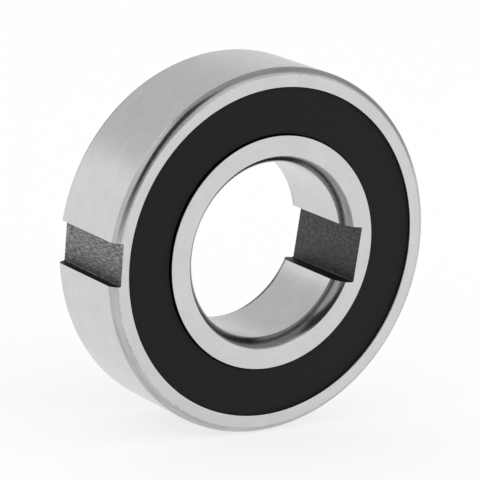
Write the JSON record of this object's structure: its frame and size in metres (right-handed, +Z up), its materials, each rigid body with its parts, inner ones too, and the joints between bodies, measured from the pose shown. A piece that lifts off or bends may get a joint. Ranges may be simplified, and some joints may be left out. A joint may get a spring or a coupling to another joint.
{
  "type": "sprag clutch",
  "caption": "Sealed one-way clutch the size of a ball bearing: its inner ring turns freely one way inside the outer ring and sprags lock it the other way; both rings are keyed.",
  "frame": {"origin": "centre of the clutch: on the axis of the bore, midway between the side faces", "axes": "+Y along the axis of rotation, from the front face in the picture to the rear face; +Z up; the outer ring's keyway is on -X and the inner ring's keyway 5 degrees below +X at rest"},
  "size_m": [0.0518, 0.015, 0.052],
  "materials": {
    "ring_steel": "ground bearing steel",
    "seal_rubber": "matt moulded nitrile rubber over a steel disc",
    "cage_steel": "pressed steel",
    "spring_steel": "rolled spring steel",
    "cage_polyamide": "moulded polyamide",
    "roller_steel": "ground and polished bearing steel",
    "sprag_steel": "drawn and hardened steel"
  },
  "bodies": {
    "outer_ring": {"outer_ring": "ring_steel", "front_seal": "seal_rubber", "rear_seal": "seal_rubber", "sprag_cage": "cage_steel", "sprag_spring": "spring_steel"},
    "inner_ring": {"inner_ring": "ring_steel"},
    "roller_cage": {"roller_cage": "cage_polyamide"},
    "roller_01": {"roller_01": "roller_steel"},
    "roller_02": {"roller_02": "roller_steel"},
    "roller_03": {"roller_03": "roller_steel"},
    "roller_04": {"roller_04": "roller_steel"},
    "roller_05": {"roller_05": "roller_steel"},
    "roller_06": {"roller_06": "roller_steel"},
    "roller_07": {"roller_07": "roller_steel"},
    "roller_08": {"roller_08": "roller_steel"},
    "roller_09": {"roller_09": "roller_steel"},
    "roller_10": {"roller_10": "roller_steel"},
    "roller_11": {"roller_11": "roller_steel"},
    "roller_12": {"roller_12": "roller_steel"},
    "sprag_01": {"sprag_01": "sprag_steel"},
    "sprag_02": {"sprag_02": "sprag_steel"},
    "sprag_03": {"sprag_03": "sprag_steel"},
    "sprag_04": {"sprag_04": "sprag_steel"},
    "sprag_05": {"sprag_05": "sprag_steel"},
    "sprag_06": {"sprag_06": "sprag_steel"},
    "sprag_07": {"sprag_07": "sprag_steel"},
    "sprag_08": {"sprag_08": "sprag_steel"},
    "sprag_09": {"sprag_09": "sprag_steel"},
    "sprag_10": {"sprag_10": "sprag_steel"},
    "sprag_11": {"sprag_11": "sprag_steel"},
    "sprag_12": {"sprag_12": "sprag_steel"},
    "sprag_13": {"sprag_13": "sprag_steel"},
    "sprag_14": {"sprag_14": "sprag_steel"},
    "sprag_15": {"sprag_15": "sprag_steel"},
    "sprag_16": {"sprag_16": "sprag_steel"}
  },
  "joints": [
    {"name": "overrun", "type": "hinge", "parent": "outer_ring", "child": "inner_ring", "pos_m": [0, 0, 0], "axis": [0, 1, 0], "range_deg": [0, 1890]},
    {"name": "roller_cage_turn", "type": "hinge", "parent": "outer_ring", "child": "roller_cage", "pos_m": [0, 0, 0], "axis": [0, 1, 0], "range_deg": [0, 800]},
    {"name": "roller_01_spin", "type": "hinge", "parent": "roller_cage", "child": "roller_01", "pos_m": [0.0192, -0.003, 0], "axis": [0, 1, 0], "range_deg": [-5900, 0]},
    {"name": "roller_02_spin", "type": "hinge", "parent": "roller_cage", "child": "roller_02", "pos_m": [0.01663, -0.003, -0.0096], "axis": [0, 1, 0], "range_deg": [-5900, 0]},
    {"name": "roller_03_spin", "type": "hinge", "parent": "roller_cage", "child": "roller_03", "pos_m": [0.0096, -0.003, -0.01663], "axis": [0, 1, 0], "range_deg": [-5900, 0]},
    {"name": "roller_04_spin", "type": "hinge", "parent": "roller_cage", "child": "roller_04", "pos_m": [0, -0.003, -0.0192], "axis": [0, 1, 0], "range_deg": [-5900, 0]},
    {"name": "roller_05_spin", "type": "hinge", "parent": "roller_cage", "child": "roller_05", "pos_m": [-0.0096, -0.003, -0.01663], "axis": [0, 1, 0], "range_deg": [-5900, 0]},
    {"name": "roller_06_spin", "type": "hinge", "parent": "roller_cage", "child": "roller_06", "pos_m": [-0.01663, -0.003, -0.0096], "axis": [0, 1, 0], "range_deg": [-5900, 0]},
    {"name": "roller_07_spin", "type": "hinge", "parent": "roller_cage", "child": "roller_07", "pos_m": [-0.0192, -0.003, 0], "axis": [0, 1, 0], "range_deg": [-5900, 0]},
    {"name": "roller_08_spin", "type": "hinge", "parent": "roller_cage", "child": "roller_08", "pos_m": [-0.01663, -0.003, 0.0096], "axis": [0, 1, 0], "range_deg": [-5900, 0]},
    {"name": "roller_09_spin", "type": "hinge", "parent": "roller_cage", "child": "roller_09", "pos_m": [-0.0096, -0.003, 0.01663], "axis": [0, 1, 0], "range_deg": [-5900, 0]},
    {"name": "roller_10_spin", "type": "hinge", "parent": "roller_cage", "child": "roller_10", "pos_m": [0, -0.003, 0.0192], "axis": [0, 1, 0], "range_deg": [-5900, 0]},
    {"name": "roller_11_spin", "type": "hinge", "parent": "roller_cage", "child": "roller_11", "pos_m": [0.0096, -0.003, 0.01663], "axis": [0, 1, 0], "range_deg": [-5900, 0]},
    {"name": "roller_12_spin", "type": "hinge", "parent": "roller_cage", "child": "roller_12", "pos_m": [0.01663, -0.003, 0.0096], "axis": [0, 1, 0], "range_deg": [-5900, 0]},
    {"name": "sprag_01_tilt", "type": "hinge", "parent": "outer_ring", "child": "sprag_01", "pos_m": [0.0192, 0.0032, 0], "axis": [0, 1, 0], "range_deg": [-5, 0]},
    {"name": "sprag_02_tilt", "type": "hinge", "parent": "outer_ring", "child": "sprag_02", "pos_m": [0.01774, 0.0032, -0.00735], "axis": [0, 1, 0], "range_deg": [-5, 0]},
    {"name": "sprag_03_tilt", "type": "hinge", "parent": "outer_ring", "child": "sprag_03", "pos_m": [0.01358, 0.0032, -0.01358], "axis": [0, 1, 0], "range_deg": [-5, 0]},
    {"name": "sprag_04_tilt", "type": "hinge", "parent": "outer_ring", "child": "sprag_04", "pos_m": [0.00735, 0.0032, -0.01774], "axis": [0, 1, 0], "range_deg": [-5, 0]},
    {"name": "sprag_05_tilt", "type": "hinge", "parent": "outer_ring", "child": "sprag_05", "pos_m": [0, 0.0032, -0.0192], "axis": [0, 1, 0], "range_deg": [-5, 0]},
    {"name": "sprag_06_tilt", "type": "hinge", "parent": "outer_ring", "child": "sprag_06", "pos_m": [-0.00735, 0.0032, -0.01774], "axis": [0, 1, 0], "range_deg": [-5, 0]},
    {"name": "sprag_07_tilt", "type": "hinge", "parent": "outer_ring", "child": "sprag_07", "pos_m": [-0.01358, 0.0032, -0.01358], "axis": [0, 1, 0], "range_deg": [-5, 0]},
    {"name": "sprag_08_tilt", "type": "hinge", "parent": "outer_ring", "child": "sprag_08", "pos_m": [-0.01774, 0.0032, -0.00735], "axis": [0, 1, 0], "range_deg": [-5, 0]},
    {"name": "sprag_09_tilt", "type": "hinge", "parent": "outer_ring", "child": "sprag_09", "pos_m": [-0.0192, 0.0032, 0], "axis": [0, 1, 0], "range_deg": [-5, 0]},
    {"name": "sprag_10_tilt", "type": "hinge", "parent": "outer_ring", "child": "sprag_10", "pos_m": [-0.01774, 0.0032, 0.00735], "axis": [0, 1, 0], "range_deg": [-5, 0]},
    {"name": "sprag_11_tilt", "type": "hinge", "parent": "outer_ring", "child": "sprag_11", "pos_m": [-0.01358, 0.0032, 0.01358], "axis": [0, 1, 0], "range_deg": [-5, 0]},
    {"name": "sprag_12_tilt", "type": "hinge", "parent": "outer_ring", "child": "sprag_12", "pos_m": [-0.00735, 0.0032, 0.01774], "axis": [0, 1, 0], "range_deg": [-5, 0]},
    {"name": "sprag_13_tilt", "type": "hinge", "parent": "outer_ring", "child": "sprag_13", "pos_m": [0, 0.0032, 0.0192], "axis": [0, 1, 0], "range_deg": [-5, 0]},
    {"name": "sprag_14_tilt", "type": "hinge", "parent": "outer_ring", "child": "sprag_14", "pos_m": [0.00735, 0.0032, 0.01774], "axis": [0, 1, 0], "range_deg": [-5, 0]},
    {"name": "sprag_15_tilt", "type": "hinge", "parent": "outer_ring", "child": "sprag_15", "pos_m": [0.01358, 0.0032, 0.01358], "axis": [0, 1, 0], "range_deg": [-5, 0]},
    {"name": "sprag_16_tilt", "type": "hinge", "parent": "outer_ring", "child": "sprag_16", "pos_m": [0.01774, 0.0032, 0.00735], "axis": [0, 1, 0], "range_deg": [-5, 0]}
  ],
  "couplings": [
    {"joint": "roller_cage_turn", "follows": "overrun", "ratio": 0.42135},
    {"joint": "roller_01_spin", "follows": "overrun", "ratio": -3.1208},
    {"joint": "roller_02_spin", "follows": "overrun", "ratio": -3.1208},
    {"joint": "roller_03_spin", "follows": "overrun", "ratio": -3.1208},
    {"joint": "roller_04_spin", "follows": "overrun", "ratio": -3.1208},
    {"joint": "roller_05_spin", "follows": "overrun", "ratio": -3.1208},
    {"joint": "roller_06_spin", "follows": "overrun", "ratio": -3.1208},
    {"joint": "roller_07_spin", "follows": "overrun", "ratio": -3.1208},
    {"joint": "roller_08_spin", "follows": "overrun", "ratio": -3.1208},
    {"joint": "roller_09_spin", "follows": "overrun", "ratio": -3.1208},
    {"joint": "roller_10_spin", "follows": "overrun", "ratio": -3.1208},
    {"joint": "roller_11_spin", "follows": "overrun", "ratio": -3.1208},
    {"joint": "roller_12_spin", "follows": "overrun", "ratio": -3.1208},
    {"joint": "sprag_02_tilt", "follows": "sprag_01_tilt", "ratio": 1},
    {"joint": "sprag_03_tilt", "follows": "sprag_01_tilt", "ratio": 1},
    {"joint": "sprag_04_tilt", "follows": "sprag_01_tilt", "ratio": 1},
    {"joint": "sprag_05_tilt", "follows": "sprag_01_tilt", "ratio": 1},
    {"joint": "sprag_06_tilt", "follows": "sprag_01_tilt", "ratio": 1},
    {"joint": "sprag_07_tilt", "follows": "sprag_01_tilt", "ratio": 1},
    {"joint": "sprag_08_tilt", "follows": "sprag_01_tilt", "ratio": 1},
    {"joint": "sprag_09_tilt", "follows": "sprag_01_tilt", "ratio": 1},
    {"joint": "sprag_10_tilt", "follows": "sprag_01_tilt", "ratio": 1},
    {"joint": "sprag_11_tilt", "follows": "sprag_01_tilt", "ratio": 1},
    {"joint": "sprag_12_tilt", "follows": "sprag_01_tilt", "ratio": 1},
    {"joint": "sprag_13_tilt", "follows": "sprag_01_tilt", "ratio": 1},
    {"joint": "sprag_14_tilt", "follows": "sprag_01_tilt", "ratio": 1},
    {"joint": "sprag_15_tilt", "follows": "sprag_01_tilt", "ratio": 1},
    {"joint": "sprag_16_tilt", "follows": "sprag_01_tilt", "ratio": 1}
  ]
}
